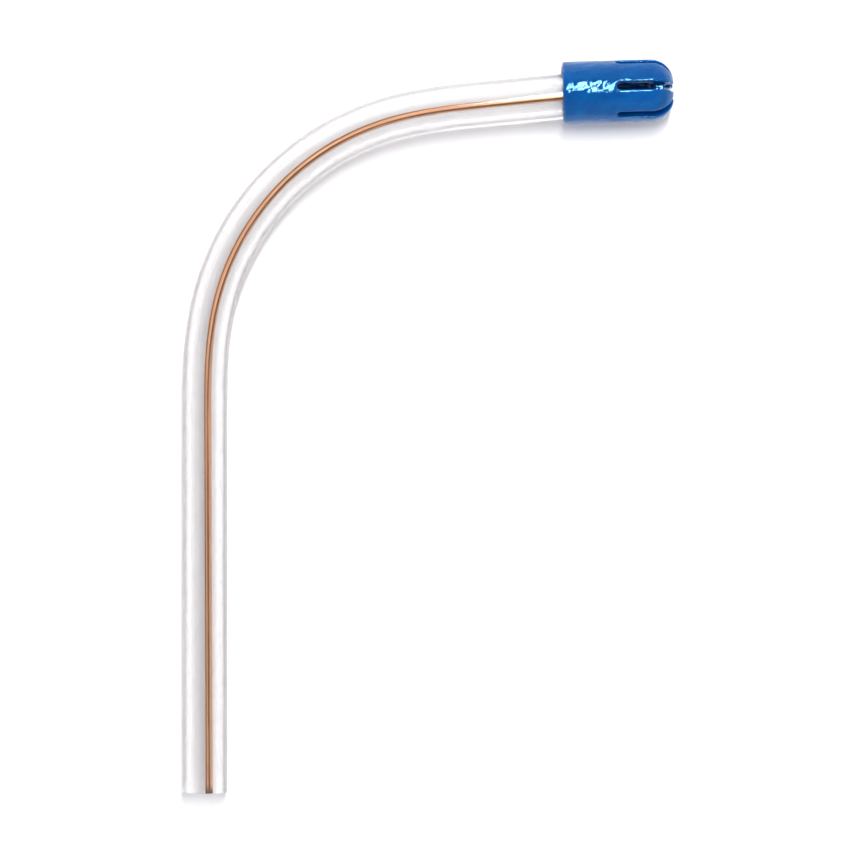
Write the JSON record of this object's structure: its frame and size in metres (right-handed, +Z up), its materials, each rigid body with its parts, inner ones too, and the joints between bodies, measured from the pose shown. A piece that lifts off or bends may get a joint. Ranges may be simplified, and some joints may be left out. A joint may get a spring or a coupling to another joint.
{
  "type": "saliva ejector",
  "caption": "Disposable saliva ejector lying on its side: a bendable clear suction tube with a shape-holding wire in its wall and a soft slotted tip, bent into a hook.",
  "frame": {"origin": "middle of the bottom of the hook's box, on the surface that it lies on", "axes": "+Z up from the surface, +Y along the straight shank away from the suction end, +X the way the tip points"},
  "size_m": [0.0706, 0.1052, 0.009],
  "materials": {
    "clear_vinyl": "clear, glossy",
    "copper_plated_wire": "copper plating, satin",
    "blue_vinyl": "soft, glossy, slightly translucent"
  },
  "bodies": {
    "grip": {"tube_grip": "clear_vinyl", "wire_grip": "copper_plated_wire"},
    "shank_1": {"tube_shank_1": "clear_vinyl", "wire_shank_1": "copper_plated_wire"},
    "shank_2": {"tube_shank_2": "clear_vinyl", "wire_shank_2": "copper_plated_wire"},
    "shank_3": {"tube_shank_3": "clear_vinyl", "wire_shank_3": "copper_plated_wire"},
    "shank_4": {"tube_shank_4": "clear_vinyl", "wire_shank_4": "copper_plated_wire"},
    "shank_5": {"tube_shank_5": "clear_vinyl", "wire_shank_5": "copper_plated_wire"},
    "shank_6": {"tube_shank_6": "clear_vinyl", "wire_shank_6": "copper_plated_wire"},
    "shank_7": {"tube_shank_7": "clear_vinyl", "wire_shank_7": "copper_plated_wire"},
    "elbow_1": {"tube_elbow_1": "clear_vinyl", "wire_elbow_1": "copper_plated_wire"},
    "elbow_2": {"tube_elbow_2": "clear_vinyl", "wire_elbow_2": "copper_plated_wire"},
    "elbow_3": {"tube_elbow_3": "clear_vinyl", "wire_elbow_3": "copper_plated_wire"},
    "elbow_4": {"tube_elbow_4": "clear_vinyl", "wire_elbow_4": "copper_plated_wire"},
    "elbow_5": {"tube_elbow_5": "clear_vinyl", "wire_elbow_5": "copper_plated_wire"},
    "crook_1": {"tube_crook_1": "clear_vinyl", "wire_crook_1": "copper_plated_wire"},
    "crook_2": {"tube_crook_2": "clear_vinyl", "wire_crook_2": "copper_plated_wire"},
    "crook_3": {"tube_crook_3": "clear_vinyl", "wire_crook_3": "copper_plated_wire"},
    "crook_4": {"tube_crook_4": "clear_vinyl", "wire_crook_4": "copper_plated_wire"},
    "neck_1": {"tube_neck_1": "clear_vinyl", "wire_neck_1": "copper_plated_wire"},
    "neck_2": {"tube_neck_2": "clear_vinyl", "wire_neck_2": "copper_plated_wire", "tip": "blue_vinyl"}
  },
  "joints": [
    {"name": "bend_shank_1", "type": "hinge", "parent": "grip", "child": "shank_1", "pos_m": [-0.032, -0.03259, 0.00325], "axis": [0, 0, -1], "range_deg": [0, 12]},
    {"name": "bend_shank_2", "type": "hinge", "parent": "shank_1", "child": "shank_2", "pos_m": [-0.032, -0.02659, 0.00325], "axis": [0, 0, -1], "range_deg": [0, 12]},
    {"name": "bend_shank_3", "type": "hinge", "parent": "shank_2", "child": "shank_3", "pos_m": [-0.032, -0.02059, 0.00325], "axis": [0, 0, -1], "range_deg": [0, 12]},
    {"name": "bend_shank_4", "type": "hinge", "parent": "shank_3", "child": "shank_4", "pos_m": [-0.032, -0.01459, 0.00325], "axis": [0, 0, -1], "range_deg": [0, 12]},
    {"name": "bend_shank_5", "type": "hinge", "parent": "shank_4", "child": "shank_5", "pos_m": [-0.032, -0.00859, 0.00325], "axis": [0, 0, -1], "range_deg": [0, 12]},
    {"name": "bend_shank_6", "type": "hinge", "parent": "shank_5", "child": "shank_6", "pos_m": [-0.032, -0.00259, 0.00325], "axis": [0, 0, -1], "range_deg": [0, 12]},
    {"name": "bend_shank_7", "type": "hinge", "parent": "shank_6", "child": "shank_7", "pos_m": [-0.032, 0.00341, 0.00325], "axis": [0, 0, -1], "range_deg": [0, 12]},
    {"name": "bend_elbow_1", "type": "hinge", "parent": "shank_7", "child": "elbow_1", "pos_m": [-0.03188, 0.01238, 0.00326], "axis": [0, 0, -1], "range_deg": [-9.39, 7.61]},
    {"name": "bend_elbow_2", "type": "hinge", "parent": "elbow_1", "child": "elbow_2", "pos_m": [-0.03091, 0.01822, 0.0033], "axis": [0, 0, -1], "range_deg": [-9.39, 7.61]},
    {"name": "bend_elbow_3", "type": "hinge", "parent": "elbow_2", "child": "elbow_3", "pos_m": [-0.02901, 0.02383, 0.00338], "axis": [0, 0, -1], "range_deg": [-9.39, 7.61]},
    {"name": "bend_elbow_4", "type": "hinge", "parent": "elbow_3", "child": "elbow_4", "pos_m": [-0.02621, 0.02906, 0.00349], "axis": [0, 0, -1], "range_deg": [-9.39, 7.61]},
    {"name": "bend_elbow_5", "type": "hinge", "parent": "elbow_4", "child": "elbow_5", "pos_m": [-0.0226, 0.03375, 0.00363], "axis": [0, 0, -1], "range_deg": [-9.39, 7.61]},
    {"name": "bend_crook_1", "type": "hinge", "parent": "elbow_5", "child": "crook_1", "pos_m": [-0.01827, 0.0378, 0.00378], "axis": [0, 0, -1], "range_deg": [-9.39, 7.61]},
    {"name": "bend_crook_2", "type": "hinge", "parent": "crook_1", "child": "crook_2", "pos_m": [-0.01334, 0.04108, 0.00394], "axis": [0, 0, -1], "range_deg": [-9.39, 7.61]},
    {"name": "bend_crook_3", "type": "hinge", "parent": "crook_2", "child": "crook_3", "pos_m": [-0.00794, 0.04352, 0.0041], "axis": [0, 0, -1], "range_deg": [-9.39, 7.61]},
    {"name": "bend_crook_4", "type": "hinge", "parent": "crook_3", "child": "crook_4", "pos_m": [-0.00221, 0.04504, 0.00424], "axis": [0, 0, -1], "range_deg": [-9.39, 7.61]},
    {"name": "bend_neck_1", "type": "hinge", "parent": "crook_4", "child": "neck_1", "pos_m": [0.00371, 0.04573, 0.00436], "axis": [0, 0, -1], "range_deg": [0, 17]},
    {"name": "bend_neck_2", "type": "hinge", "parent": "neck_1", "child": "neck_2", "pos_m": [0.00969, 0.04631, 0.00445], "axis": [0, 0, -1], "range_deg": [0, 17]}
  ]
}
